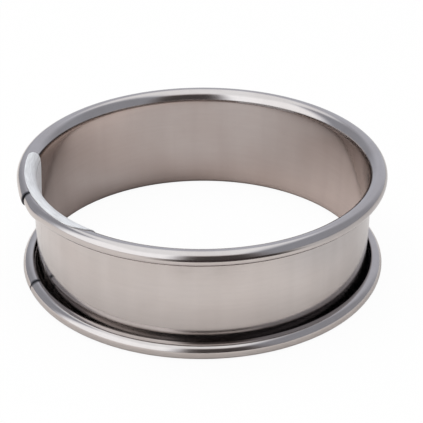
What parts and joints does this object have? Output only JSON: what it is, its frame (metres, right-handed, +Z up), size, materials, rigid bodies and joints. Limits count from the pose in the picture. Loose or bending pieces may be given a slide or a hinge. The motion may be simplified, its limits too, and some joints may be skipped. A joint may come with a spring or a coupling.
{
  "type": "baking ring",
  "caption": "Round bottomless stainless-steel baking ring with rolled edges, its butted seam held by a strap welded on the inside.",
  "frame": {"origin": "centre of the circle that the lower bead stands on", "axes": "+Z up along the ring's axis, -Y towards the picture's viewer, the seam on the -X side"},
  "size_m": [0.08, 0.08, 0.0256],
  "materials": {
    "band_steel": "bright polished stainless sheet with a faint grain round the wall",
    "strap_steel": "matt stainless sheet with fine brush marks",
    "weld_steel": "dull, slightly dished weld spots"
  },
  "bodies": {
    "root": {"rolled_band": "band_steel", "seam_strap": "strap_steel", "spot_weld_1": "weld_steel", "spot_weld_2": "weld_steel", "spot_weld_3": "weld_steel", "spot_weld_4": "weld_steel", "spot_weld_5": "weld_steel", "spot_weld_6": "weld_steel"}
  },
  "joints": []
}
